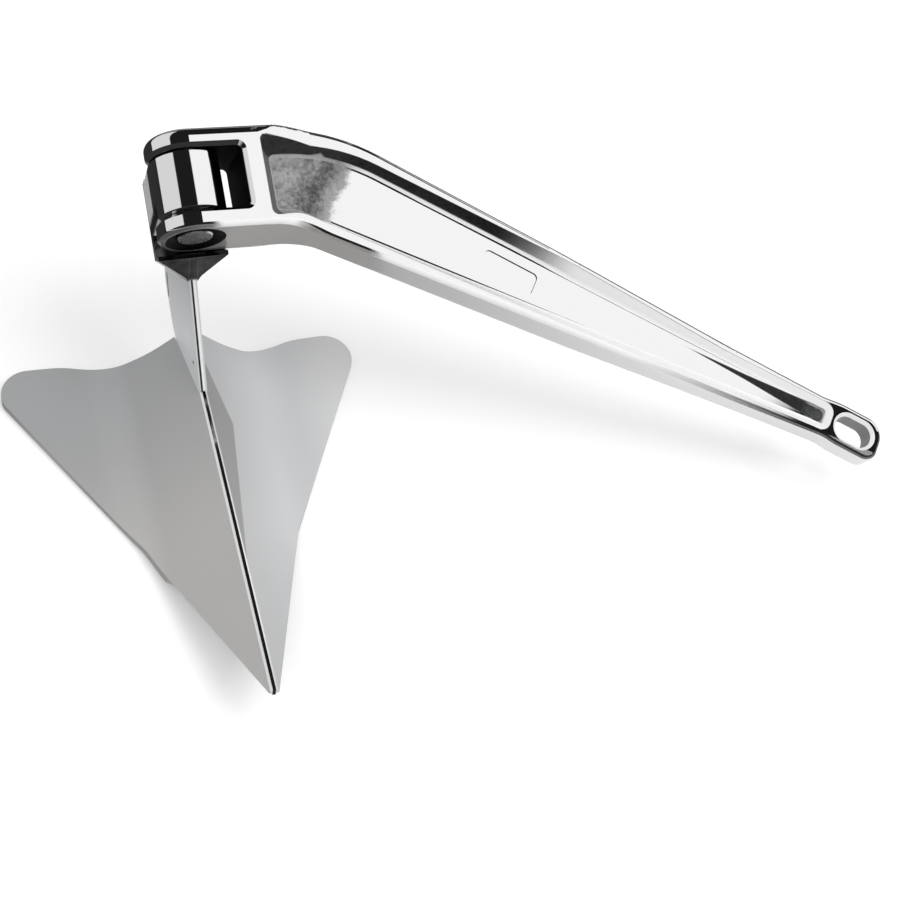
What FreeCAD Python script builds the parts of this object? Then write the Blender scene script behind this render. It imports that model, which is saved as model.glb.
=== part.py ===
import FreeCAD, Part
import math
import os
import Sketcher
from FreeCAD import Placement, Rotation, Vector

# A hinged plough anchor: a cast I-section shank whose fork carries a two-bladed plough on one vertical pin.
# Two building frames are used, both in millimetres.
# Shank frame: the pin axis is Z, the underside of the lower ear is z = 0, and the shank runs along +X.
# Plough frame: the same origin and Z, with +X towards the nose and +Y across to the port blade.
# At the end everything is laid down as the anchor comes to rest on a floor.

# Driving dimensions: alias, value, meaning
SIZES = [
    ("fork_height", 58.2, "overall height of the fork over both ears"),
    ("fork_width", 41.0, "width of the fork and of its rounded ears"),
    ("fork_round", 5.6, "rounding of the fork's upper outer edge"),
    ("slot_bevel", 2.2, "bevel on the edges of the fork slot"),
    ("lower_ear", 10.8, "thickness of the lower ear"),
    ("upper_ear", 11.6, "thickness of the upper ear"),
    ("slot_depth", 29.0, "throat of the fork slot, from the pin axis"),
    ("slot_corner", 3.0, "corner radius at the throat"),
    ("pin_radius", 10.0, "hinge pin radius"),
    ("pin_setback", 0.8, "how far each pin end lies under the ear's face"),
    ("pin_chamfer", 0.8, "chamfer on the pin ends"),
    ("sink_radius", 16.9, "countersink round each pin end, at the face"),
    ("sink_depth", 3.0, "depth of that countersink"),
    ("running_gap", 0.05, "radial clearance of the barrel on the pin"),
    ("side_gap", 0.3, "axial clearance between the barrel and each ear"),
    ("top_bend_at", 81.5, "where the top line turns down, from the pin axis"),
    ("top_bend_radius", 115.0, "radius of that bend"),
    ("bottom_bend_at", 57.5, "where the bottom line turns down"),
    ("bottom_bend_radius", 60.0, "radius of that bend"),
    ("shank_slope", 33.2, "slope of the top line, in degrees"),
    ("shank_run", 358.4, "from the top bend to the middle of the shackle eye"),
    ("shoulder_start", 43.0, "where the fork starts to narrow"),
    ("shoulder_end", 70.5, "where the narrowing ends"),
    ("shoulder_radius", 25.0, "radius of both shoulder curves"),
    ("bar_width", 23.0, "width of the shank behind the fork"),
    ("taper_start", 210.0, "where the shank starts to thin towards the eye"),
    ("taper_end", 300.0, "where it has its least width"),
    ("eye_width", 15.2, "width of the shank at the eye"),
    ("taper_radius", 400.0, "radius of the two gentle bends of the taper"),
    ("eye_outer", 26.4, "outer height of the shackle eye"),
    ("eye_proud", 0.6, "how far the eye swells past the top line"),
    ("eye_reach", 18.3, "from the slot's middle to the end of the eye"),
    ("eye_corner", 12.0, "upper corner radius of the eye's end"),
    ("eye_lower_corner", 8.0, "lower corner radius of the eye's end"),
    ("eye_waist", 1.0, "depth of the waist before the eye"),
    ("eye_neck", 12.0, "from the slot's middle back to where the eye's top has its full height"),
    ("eye_lower_neck", 8.0, "the same for the eye's underside"),
    ("waist_radius", 30.0, "radius of the curves at the waist"),
    ("eye_slot_length", 24.0, "length of the shackle slot"),
    ("eye_slot_width", 15.0, "width of the shackle slot"),
    ("eye_bevel", 2.0, "bevel round the shackle slot"),
    ("eye_heel", 24.5, "from the slot's middle back to the waist in the top line"),
    ("eye_lower_heel", 16.8, "the same for the waist in the underside"),
    ("web_width", 8.0, "thickness of the web between the pockets"),
    ("pocket_start", 47.5, "near end of the pocket floor, from the pin axis"),
    ("pocket_end", 19.8, "far end of the pocket floor, back from the slot's middle"),
    ("fork_rim", 14.3, "rim over the pocket floor beside the fork"),
    ("top_rim", 11.0, "rim over the pocket floor along the top"),
    ("bottom_rim", 12.2, "rim under the pocket floor where the bottom turns down"),
    ("pocket_bend_radius", 22.0, "radius of the pocket's bend along the bottom"),
    ("eye_top_rim", 8.0, "top rim over the pocket floor near the eye"),
    ("eye_bottom_rim", 9.4, "bottom rim under the pocket floor near the eye"),
    ("pocket_draft", 26.0, "draft of the pocket walls at the fork, in degrees"),
    ("pocket_end_draft", 50.5, "draft of the pocket walls at the eye, in degrees"),
    ("pocket_corner", 4.0, "corner radius of the pocket floor"),
    ("pocket_fillet", 3.0, "fillet between the pocket walls and its floor"),
    ("edge_radius", 2.6, "rounding of the shank's long outer edges"),
    ("panel_start", 130.0, "middle of the number panel, from the top bend along the shank"),
    ("panel_drop", 24.5, "middle of the number panel below the top line"),
    ("panel_length", 34.0, "length of the number panel"),
    ("panel_height", 14.5, "height of the number panel"),
    ("panel_depth", 0.8, "depth of the number panel"),
    ("panel_corner", 3.0, "corner radius of the number panel"),
    ("barrel_radius", 19.5, "radius of the plough's hinge barrel"),
    ("barrel_bevel", 1.8, "bevel on the barrel's two ends"),
    ("wall_distance", 23.6, "hinge wall's face behind the pin axis"),
    ("wall_depth", 8.0, "thickness of the hinge wall"),
    ("wall_half", 19.5, "half the width of the hinge wall"),
    ("lip_reach", 17.0, "front of the lip under the lower ear, behind the pin axis"),
    ("lip_gap", 1.8, "gap between the lip and the lower ear"),
    ("lip_thickness", 2.7, "thickness of the lip's edge"),
    ("block_back", 51.0, "back of the block between wall and neck, behind the pin axis"),
    ("neck_top_back", 33.0, "front edge of the neck at its top, behind the pin axis"),
    ("neck_top_drop", 12.0, "height of that point below the lower ear"),
    ("lip_rise", 20.0, "how steeply the underside of the lip rises to the back, in degrees"),
    ("neck_edge", 4.2, "thickness of the neck's front edge"),
    ("neck_width", 15.6, "thickness of the neck at its back"),
    ("neck_chord", 44.0, "distance from the front edge to where the neck is full"),
    ("neck_back", 87.0, "back of the neck, behind the pin axis"),
    ("neck_crown", 9.0, "height of the neck's back corner"),
    ("neck_back_drop", 27.0, "where the back of the neck meets the blades"),
    ("neck_root", 30.0, "depth of the neck's root inside the plough"),
    ("nose_forward", 12.2, "nose of the plough, ahead of the pin axis"),
    ("nose_drop", 254.2, "nose of the plough below the lower ear"),
    ("ridge_slope", 21.8, "slope of the ridge away from the pin axis, in degrees"),
    ("kink_along", 200.3, "where the neck rises off the ridge, from the nose"),
    ("ridge_width", 2.0, "width of the ridge bar"),
    ("ridge_depth", 13.0, "depth of the ridge bar"),
    ("ridge_set", 0.5, "ridge bar's front below the meeting line of the blades"),
    ("plate", 5.0, "thickness of the blade plates"),
    ("leg_angle", 50.0, "slope of the blade's inner leg across the plough, in degrees"),
    ("wing_angle", 12.7, "slope of the blade's outer wing, in degrees"),
    ("bend_across", 44.5, "where leg and wing would meet, from the ridge"),
    ("bend_radius", 50.0, "outside radius of the bend between them"),
    ("blade_half", 107.0, "half the span of the plough"),
    ("tip_radius", 14.0, "rounding of the wing tips"),
    ("nose_blunt", 5.0, "length ground off the point of the nose"),
    ("edge_angle", 26.93, "angle of the front edge from the ridge, on the flat plate, in degrees"),
    ("edge_start", 1.2, "where the front edge would meet the point, from the ridge"),
    ("heel_along", 248.0, "inner end of the blade's back edge, from the nose"),
    ("heel_across", 7.8, "the same point, from the ridge"),
    ("hollow_rise", 3.0, "where the back edge starts to climb, further back than the heel"),
    ("hollow_across", 22.0, "the same point, from the ridge"),
    ("crest_rise", 22.5, "where the back edge levels off, further back than the hollow"),
    ("crest_across", 70.0, "the same point, from the ridge"),
    ("tip_rise", 7.4, "end of the back edge at the wing tip, further back than the crest"),
    ("back_curve", 60.0, "radius of both bends in the back edge"),
    ("ballast_end", 120.0, "back end of the nose ballast, from the nose"),
    ("ballast_set", 3.0, "ballast's back face inside the blades' front edges"),
    ("hinge_turn_angle", -96.6, "turn of the plough in the fork, in degrees"),
    ("rest_yaw_angle", 24.074, "lie of the resting anchor: turn about the upright, in degrees"),
    ("rest_pitch_angle", 5.775, "lie of the resting anchor: pitch of the shank frame, in degrees"),
    ("rest_roll_angle", -60.945, "lie of the resting anchor: roll of the shank frame, in degrees"),
]

# End of the blade at the wing tip, measured along the ridge from the nose
TIP_ALONG = "<heel_along> + <hollow_rise> + <crest_rise> + <tip_rise>"

doc = FreeCAD.newDocument("plough_anchor")
sheet = doc.addObject("Spreadsheet::Sheet", "Sizes")
for row, (alias, size, meaning) in enumerate(SIZES, start=1):
    sheet.set(f"A{row}", str(size))
    sheet.setAlias(f"A{row}", alias)
    sheet.set(f"B{row}", meaning)
doc.recompute()


def short(expression):
    """An expression in bare aliases, with each alias written as the sheet's own cell."""
    for alias in sorted((row[0] for row in SIZES), key=len, reverse=True):
        expression = expression.replace(f"<{alias}>", f"Sizes.{alias}")
    return expression


def size_of(expression):
    """Value of an expression in millimetres or degrees."""
    return float(sheet.evalExpression(short(expression)))


def bind(feature, target, expression):
    feature.setExpression(target, short(expression))


def start_body(name):
    body = doc.addObject("PartDesign::Body", name)
    body.Label = name
    return body


def start_sketch(body, name, role, raised=None):
    """A sketch on one of the body's own planes, moved along the plane's normal if asked."""
    sketch = body.newObject("Sketcher::SketchObject", name)
    plane = [item for item in body.Origin.OriginFeatures if item.Role == role][0]
    sketch.AttachmentSupport = [(plane, "")]
    sketch.MapMode = "FlatFace"
    if raised is not None:
        bind(sketch, "AttachmentOffset.Base.z", raised)
    return sketch


def pin_point(sketch, x_size, y_size):
    """A construction point whose place is bound to the sheet."""
    point = sketch.addGeometry(Part.Point(Vector(size_of(x_size), size_of(y_size), 0)), True)
    for kind, expression in (("DistanceX", x_size), ("DistanceY", y_size)):
        index = sketch.addConstraint(Sketcher.Constraint(kind, -1, 1, point, 1, size_of(expression)))
        bind(sketch, f"Constraints[{index}]", expression)
    return point


def draw_outline(sketch, corners):
    """A closed outline of straight runs. Each corner is (x, y) or (x, y, rounding radius)."""
    count = len(corners)
    places = [Vector(size_of(corner[0]), size_of(corner[1]), 0) for corner in corners]
    radii = [size_of(corner[2]) if len(corner) > 2 else 0.0 for corner in corners]
    runs = [(places[(i + 1) % count] - places[i]).normalize() for i in range(count)]
    trims = []
    for i in range(count):
        turn = runs[i - 1].getAngle(runs[i])
        trims.append(radii[i] * math.tan(turn / 2))
    points = [pin_point(sketch, corner[0], corner[1]) for corner in corners]
    lines = []
    for i in range(count):
        start = places[i] + runs[i] * trims[i]
        end = places[(i + 1) % count] - runs[i] * trims[(i + 1) % count]
        lines.append(sketch.addGeometry(Part.LineSegment(start, end), False))
    for i in range(count):
        before = lines[i - 1]
        after = lines[i]
        if radii[i] == 0:
            sketch.addConstraint(Sketcher.Constraint("Coincident", before, 2, points[i], 1))
            sketch.addConstraint(Sketcher.Constraint("Coincident", after, 1, points[i], 1))
            continue
        first = places[i] - runs[i - 1] * trims[i]
        last = places[i] + runs[i] * trims[i]
        inward = (runs[i] - runs[i - 1]).normalize()
        half_turn = runs[i - 1].getAngle(runs[i]) / 2
        centre = places[i] + inward * (radii[i] / math.cos(half_turn))
        angles = [math.atan2(end.y - centre.y, end.x - centre.x) for end in (first, last)]
        left_turn = runs[i - 1].cross(runs[i]).z > 0
        if not left_turn:
            angles.reverse()
        circle = Part.Circle(centre, Vector(0, 0, 1), radii[i])
        arc = sketch.addGeometry(Part.ArcOfCircle(circle, angles[0], angles[1]), False)
        near, far = (1, 2) if left_turn else (2, 1)
        sketch.addConstraint(Sketcher.Constraint("Tangent", before, 2, arc, near))
        sketch.addConstraint(Sketcher.Constraint("Tangent", arc, far, after, 1))
        sketch.addConstraint(Sketcher.Constraint("PointOnObject", points[i], 1, before))
        sketch.addConstraint(Sketcher.Constraint("PointOnObject", points[i], 1, after))
        index = sketch.addConstraint(Sketcher.Constraint("Radius", arc, radii[i]))
        bind(sketch, f"Constraints[{index}]", corners[i][2])


def draw_circle(sketch, x_size, y_size, radius):
    centre = pin_point(sketch, x_size, y_size)
    middle = Vector(size_of(x_size), size_of(y_size), 0)
    circle = sketch.addGeometry(Part.Circle(middle, Vector(0, 0, 1), size_of(radius)), False)
    sketch.addConstraint(Sketcher.Constraint("Coincident", circle, 3, centre, 1))
    index = sketch.addConstraint(Sketcher.Constraint("Radius", circle, size_of(radius)))
    bind(sketch, f"Constraints[{index}]", radius)


def draw_stadium(sketch, ends, radius):
    """A slot with round ends, from the centre of one end to the centre of the other."""
    centres = [Vector(size_of(x_size), size_of(y_size), 0) for x_size, y_size in ends]
    points = [pin_point(sketch, x_size, y_size) for x_size, y_size in ends]
    along = (centres[1] - centres[0]).normalize()
    across = Vector(-along.y, along.x, 0) * size_of(radius)
    heading = math.atan2(along.y, along.x)
    right_angle = math.pi / 2
    arcs = []
    for point, centre, start in zip(points, centres, (heading + right_angle, heading - right_angle)):
        circle = Part.Circle(centre, Vector(0, 0, 1), size_of(radius))
        arc = sketch.addGeometry(Part.ArcOfCircle(circle, start, start + math.pi), False)
        sketch.addConstraint(Sketcher.Constraint("Coincident", arc, 3, point, 1))
        arcs.append(arc)
    sides = [(centres[0] - across, centres[1] - across), (centres[1] + across, centres[0] + across)]
    lines = [sketch.addGeometry(Part.LineSegment(start, end), False) for start, end in sides]
    sketch.addConstraint(Sketcher.Constraint("Tangent", arcs[0], 2, lines[0], 1))
    sketch.addConstraint(Sketcher.Constraint("Tangent", lines[0], 2, arcs[1], 1))
    sketch.addConstraint(Sketcher.Constraint("Tangent", arcs[1], 2, lines[1], 1))
    sketch.addConstraint(Sketcher.Constraint("Tangent", lines[1], 2, arcs[0], 1))
    index = sketch.addConstraint(Sketcher.Constraint("Radius", arcs[0], size_of(radius)))
    bind(sketch, f"Constraints[{index}]", radius)


def pad(body, name, sketch, length, both_ways=False, turned=False):
    feature = body.newObject("PartDesign::Pad", name)
    feature.Profile = sketch
    bind(feature, "Length", length)
    if both_ways:
        feature.SideType = "Symmetric"
    feature.Reversed = turned
    sketch.Visibility = False
    return feature


def cut_through(body, name, sketch):
    """A pocket through everything on both sides of its sketch."""
    before = solid_volume(body)
    feature = body.newObject("PartDesign::Pocket", name)
    feature.Profile = sketch
    feature.Type = "ThroughAll"
    feature.SideType = "Symmetric"
    must_cut(body, feature, before)
    return feature


def solid_volume(body):
    doc.recompute()
    return body.Shape.Volume


def must_cut(body, feature, before):
    doc.recompute()
    if feature.Shape.Volume > before - 1e-3:
        raise RuntimeError(f"{body.Label}: {feature.Name} cuts nothing")


def mirror(body, name, feature, role):
    plane = [item for item in body.Origin.OriginFeatures if item.Role == role][0]
    copy = body.newObject("PartDesign::Mirrored", name)
    copy.Originals = [feature]
    copy.MirrorPlane = (plane, [""])
    body.Tip = copy
    doc.recompute()
    return copy


def edges_where(shape, test):
    """Names of the edges that a test on the edge picks out."""
    return [f"Edge{i}" for i, edge in enumerate(shape.Edges, start=1) if test(edge)]


def shank_point(along, below):
    """A point in side view, measured along the shank's top line from its bend and square below it."""
    x_size = f"<top_bend_at> + ({along}) * cos(<shank_slope>) - ({below}) * sin(<shank_slope>)"
    z_size = f"<fork_height> - ({along}) * sin(<shank_slope>) - ({below}) * cos(<shank_slope>)"
    return x_size, z_size


def make_shank():
    body = start_body("shank")

    # Side view: fork, the bend, the long straight bar and the eye
    side = start_sketch(body, "shank_side", "XZ_Plane")
    eye_bottom = "<eye_outer> - <eye_proud>"
    lower_end = shank_point("<shank_run> + <eye_reach>", eye_bottom)
    upper_end = shank_point("<shank_run> + <eye_reach>", "-<eye_proud>")
    draw_outline(side, [
        ("0", "0"),
        ("<bottom_bend_at>", "0", "<bottom_bend_radius>"),
        (*shank_point("<shank_run> - <eye_lower_heel>", f"{eye_bottom} - <eye_waist>"), "<waist_radius>"),
        (*shank_point("<shank_run> - <eye_lower_neck>", eye_bottom), "<waist_radius>"),
        lower_end,
        upper_end,
        (*shank_point("<shank_run> - <eye_neck>", "-<eye_proud>"), "<waist_radius>"),
        (*shank_point("<shank_run> - <eye_heel>", "<eye_waist>"), "<waist_radius>"),
        ("<top_bend_at>", "<fork_height>", "<top_bend_radius>"),
        ("0", "<fork_height>"),
    ])
    pad(body, "shank_blank", side, "<fork_width>", both_ways=True)

    # Round end of both ears
    ears = start_sketch(body, "ear_round", "XY_Plane")
    draw_circle(ears, "0", "0", "<fork_width> / 2")
    pad(body, "ear_boss", ears, "<fork_height>")
    doc.recompute()

    # The fork's upper outer edge is rounded generously; the bar's part of it is cut away next
    blank = body.Tip
    crown = edges_where(blank.Shape, on_fork_crown)
    crown_round = body.newObject("PartDesign::Fillet", "fork_crown")
    crown_round.Base = (blank, crown)
    bind(crown_round, "Radius", "<fork_round>")
    doc.recompute()

    # Plan view: the fork narrows to the bar, and the bar thins towards the eye
    flank = start_sketch(body, "flank", "XY_Plane")
    far_end = "<top_bend_at> + <shank_run>"
    draw_outline(flank, [
        ("<slot_depth> / 2", "<fork_width> / 2"),
        ("<shoulder_start>", "<fork_width> / 2", "<shoulder_radius>"),
        ("<shoulder_end>", "<bar_width> / 2", "<shoulder_radius>"),
        ("<taper_start>", "<bar_width> / 2", "<taper_radius>"),
        ("<taper_end>", "<eye_width> / 2", "<taper_radius>"),
        (far_end, "<eye_width> / 2"),
        (far_end, "<fork_width>"),
        ("<slot_depth> / 2", "<fork_width>"),
    ])
    flank_cut = cut_through(body, "flank_cut", flank)
    mirror(body, "flank_cuts", flank_cut, "XZ_Plane")

    # Round end of the eye, in side view
    for name, corner, radius in (
        ("lower_eye_end", lower_end, "<eye_lower_corner>"),
        ("upper_eye_end", upper_end, "<eye_corner>"),
    ):
        square = body.Tip
        place = Vector(size_of(corner[0]), 0, size_of(corner[1]))
        across = edges_where(square.Shape, lambda edge: crosses_at(edge, place))
        end_round = body.newObject("PartDesign::Fillet", name)
        end_round.Base = (square, across)
        bind(end_round, "Radius", radius)
        doc.recompute()

    # The long outer edges are rounded before anything is cut into the sides
    base = body.Tip
    rim = edges_where(base.Shape, lambda edge: not lies_along(edge, Vector(0, 1, 0), Vector(0, 0, 1)))
    rounding = body.newObject("PartDesign::Fillet", "long_edges")
    rounding.Base = (base, rim)
    bind(rounding, "Radius", "<edge_radius>")
    doc.recompute()

    # Slot for the plough's hinge barrel
    slot = start_sketch(body, "fork_slot", "XZ_Plane")
    draw_outline(slot, [
        ("-<fork_width>", "<lower_ear>"),
        ("<slot_depth>", "<lower_ear>", "<slot_corner>"),
        ("<slot_depth>", "<fork_height> - <upper_ear>", "<slot_corner>"),
        ("-<fork_width>", "<fork_height> - <upper_ear>"),
    ])
    slot_cut = cut_through(body, "slot_cut", slot)
    slot_rim = edges_where(slot_cut.Shape, on_slot_rim)
    slot_bevel = body.newObject("PartDesign::Chamfer", "slot_edges")
    slot_bevel.Base = (slot_cut, slot_rim)
    bind(slot_bevel, "Size", "<slot_bevel>")
    doc.recompute()

    # Drafted pocket in each side, leaving a web between an upper and a lower flange
    floor = start_sketch(body, "pocket_floor", "XZ_Plane", "<web_width> / 2")
    draw_outline(floor, pocket_corners("0", "0"))
    mouth = start_sketch(body, "pocket_mouth", "XZ_Plane", "<fork_width> / 2")
    pocket_depth = "(<fork_width> - <web_width>) / 2"
    growth = f"{pocket_depth} * tan(<pocket_draft>)"
    end_growth = f"{pocket_depth} * tan(<pocket_end_draft>)"
    draw_outline(mouth, pocket_corners(growth, end_growth))
    before = solid_volume(body)
    pocket = body.newObject("PartDesign::SubtractiveLoft", "pocket")
    pocket.Profile = floor
    pocket.Sections = [mouth]
    pocket.Ruled = True
    must_cut(body, pocket, before)
    pockets = mirror(body, "pockets", pocket, "XZ_Plane")
    on_web = edges_where(pockets.Shape, lambda edge: all(
        abs(abs(vertex.Y) - size_of("<web_width> / 2")) < 1e-4 for vertex in edge.Vertexes))
    fillet = body.newObject("PartDesign::Fillet", "pocket_fillets")
    fillet.Base = (pockets, on_web)
    bind(fillet, "Radius", "<pocket_fillet>")
    doc.recompute()

    # Bore and countersinks for the hinge pin, turned through both ears
    bore = start_sketch(body, "pin_bore", "XZ_Plane")
    draw_outline(bore, [
        ("0", "-<sink_depth>"),
        ("<sink_radius>", "-<sink_depth>"),
        ("<sink_radius>", "0"),
        ("<pin_radius>", "<sink_depth>"),
        ("<pin_radius>", "<fork_height> - <sink_depth>"),
        ("<sink_radius>", "<fork_height>"),
        ("<sink_radius>", "<fork_height> + <sink_depth>"),
        ("0", "<fork_height> + <sink_depth>"),
    ])
    before = solid_volume(body)
    groove = body.newObject("PartDesign::Groove", "pin_hole")
    groove.Profile = bore
    groove.ReferenceAxis = (bore, ["V_Axis"])
    must_cut(body, groove, before)

    # Shackle slot with a bevelled rim on both faces
    middle = "<eye_outer> / 2 - <eye_proud>"
    half_run = "(<eye_slot_length> - <eye_slot_width>) / 2"
    slot_ends = [
        shank_point(f"<shank_run> - {half_run}", middle),
        shank_point(f"<shank_run> + {half_run}", middle),
    ]
    eye = start_sketch(body, "shackle_slot", "XZ_Plane")
    draw_stadium(eye, slot_ends, "<eye_slot_width> / 2")
    eye_cut = cut_through(body, "shackle_cut", eye)
    eye_rim = edges_where(eye_cut.Shape, on_eye_face)
    bevel = body.newObject("PartDesign::Chamfer", "shackle_bevel")
    bevel.Base = (eye_cut, eye_rim)
    bind(bevel, "Size", "<eye_bevel>")
    doc.recompute()

    # Number panel, a shallow bare recess in the web on one side
    panel = start_sketch(body, "number_panel", "XZ_Plane", "<web_width> / 2")
    before_panel = "<panel_start> - <panel_length> / 2"
    after_panel = "<panel_start> + <panel_length> / 2"
    above = "<panel_drop> - <panel_height> / 2"
    under = "<panel_drop> + <panel_height> / 2"
    draw_outline(panel, [
        (*shank_point(before_panel, under), "<panel_corner>"),
        (*shank_point(after_panel, under), "<panel_corner>"),
        (*shank_point(after_panel, above), "<panel_corner>"),
        (*shank_point(before_panel, above), "<panel_corner>"),
    ])
    before = solid_volume(body)
    recess = body.newObject("PartDesign::Pocket", "panel_recess")
    recess.Profile = panel
    bind(recess, "Length", "<panel_depth>")
    must_cut(body, recess, before)
    return body


def pocket_corners(grow, end_grow):
    """Corners of the pocket's outline, grown outwards at the fork and, more gently walled, at the eye."""
    along = f"<shank_run> - <pocket_end> + {end_grow}"
    start = f"<pocket_start> - {grow}"
    fork_rim = f"(<fork_rim> - {grow})"
    top_rim = f"(<top_rim> - {grow})"
    end_corner = f"<pocket_corner> + {end_grow} / 2"
    top_turn = f"<top_bend_at> + ({fork_rim} - {top_rim} / cos(<shank_slope>)) / tan(<shank_slope>)"
    return [
        (start, f"<bottom_rim> - {grow}", "<pocket_corner>"),
        ("<bottom_bend_at>", f"<bottom_rim> - {grow}", "<pocket_bend_radius>"),
        (*shank_point(along, f"<eye_outer> - <eye_bottom_rim> + {end_grow}"), end_corner),
        (*shank_point(along, f"<eye_top_rim> - {end_grow}"), end_corner),
        (top_turn, f"<fork_height> - {fork_rim}", "<top_bend_radius> - <fork_rim>"),
        (start, f"<fork_height> - {fork_rim}", "<pocket_corner>"),
    ]


def crosses_at(edge, place):
    """True for an edge that runs straight across the shank through one point of its side view."""
    if not lies_along(edge, Vector(0, 1, 0)):
        return False
    start = edge.Vertexes[0].Point
    return math.hypot(start.x - place.x, start.z - place.z) < 1e-3


def on_fork_crown(edge):
    """True for the upper outer edge of the blank, round the ears and along both sides of the fork."""
    top = size_of("<fork_height>")
    if any(abs(vertex.Z - top) > 1e-4 for vertex in edge.Vertexes):
        return False
    return not lies_along(edge, Vector(0, 1, 0))


def on_slot_rim(edge):
    """True for the edges between the fork slot and the outside of the fork."""
    low = size_of("<lower_ear>") - 1e-4
    high = size_of("<fork_height> - <upper_ear>") + 1e-4
    reach = size_of("<slot_depth>") + 1e-4
    for vertex in edge.Vertexes:
        if not low < vertex.Z < high or vertex.X > reach:
            return False
    return not lies_along(edge, Vector(0, 1, 0))


def on_eye_face(edge):
    """True for the rim of the shackle slot on either face of the eye."""
    face = size_of("<eye_width> / 2")
    middle = shank_point("<shank_run>", "<eye_outer> / 2 - <eye_proud>")
    middle_x, middle_z = (size_of(item) for item in middle)
    reach = size_of("<eye_slot_length> / 2") + 0.01
    for vertex in edge.Vertexes:
        if abs(abs(vertex.Y) - face) > 1e-4:
            return False
        if math.hypot(vertex.X - middle_x, vertex.Z - middle_z) > reach:
            return False
    return True


def lies_along(edge, *directions):
    """True for a straight edge along one of the directions."""
    if not isinstance(edge.Curve, Part.Line):
        return False
    return any(edge.tangentAt(edge.FirstParameter).cross(way).Length < 1e-6 for way in directions)


def make_hinge_pin():
    body = start_body("hinge_pin")
    round_section = start_sketch(body, "pin_section", "XY_Plane", "<pin_setback>")
    draw_circle(round_section, "0", "0", "<pin_radius>")
    rod = pad(body, "pin_rod", round_section, "<fork_height> - 2 * <pin_setback>")
    doc.recompute()
    ends = edges_where(rod.Shape, lambda edge: edge.isClosed())
    chamfer = body.newObject("PartDesign::Chamfer", "pin_ends")
    chamfer.Base = (rod, ends)
    bind(chamfer, "Size", "<pin_chamfer>")
    return body


def make_hinge_wall():
    """The wall behind the fork with the lip under the lower ear, narrowing down into the neck."""
    body = start_body("hinge_wall")
    side = start_sketch(body, "wall_side", "XZ_Plane")
    lip_under = "-<lip_gap> - <lip_thickness>"
    wall_back = "-<wall_distance> - <wall_depth>"
    draw_outline(side, [
        ("-<lip_reach>", "-<lip_gap>"),
        ("-<wall_distance>", "-<lip_gap>"),
        ("-<wall_distance>", "<fork_height> - <upper_ear> - <side_gap>"),
        (wall_back, "<fork_height> - <upper_ear> - <side_gap>"),
        ("-<block_back>", "<fork_height> / 2"),
        ("-<block_back>", "-<neck_top_drop>"),
        ("-<neck_top_back>", "-<neck_top_drop>"),
        ("-<lip_reach>", lip_under),
    ])
    pad(body, "wall_blank", side, "2 * <wall_half>", both_ways=True)

    # Seen from the front, the lip draws in to the neck in two hollow curves that rise to the back
    front = start_sketch(body, "wall_front", "YZ_Plane")
    front.AttachmentOffset = Placement(Vector(0, 0, 0), Rotation(Vector(1, 0, 0), size_of("<lip_rise>")))
    lip_end = f"-<lip_reach> * sin(<lip_rise>) + ({lip_under}) * cos(<lip_rise>)"
    neck_end = "-<neck_top_back> * sin(<lip_rise>) - <neck_top_drop> * cos(<lip_rise>)"
    draw_outline(front, [
        ("<wall_half>", lip_end),
        ("<neck_edge> / 2", neck_end, "<neck_edge> * 2"),
        ("<neck_edge> / 2", f"({neck_end}) * 3"),
        ("<wall_half> + <wall_depth>", f"({neck_end}) * 3"),
        ("<wall_half> + <wall_depth>", lip_end),
    ])
    front_cut = cut_through(body, "front_cut", front)
    mirror(body, "front_cuts", front_cut, "XZ_Plane")

    # Seen from above, the wall draws in to the neck behind it
    plan = start_sketch(body, "wall_plan", "XY_Plane")
    draw_outline(plan, [
        (wall_back, "<wall_half> + <wall_depth>"),
        (wall_back, "<wall_half>"),
        (f"{wall_back} - <wall_depth>", "<neck_width> / 2", "<wall_depth>"),
        ("-<neck_back> * 2", "<neck_width> / 2"),
        ("-<neck_back> * 2", "<wall_half> + <wall_depth>"),
    ])
    plan_cut = cut_through(body, "plan_cut", plan)
    mirror(body, "plan_cuts", plan_cut, "XZ_Plane")
    return body


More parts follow.
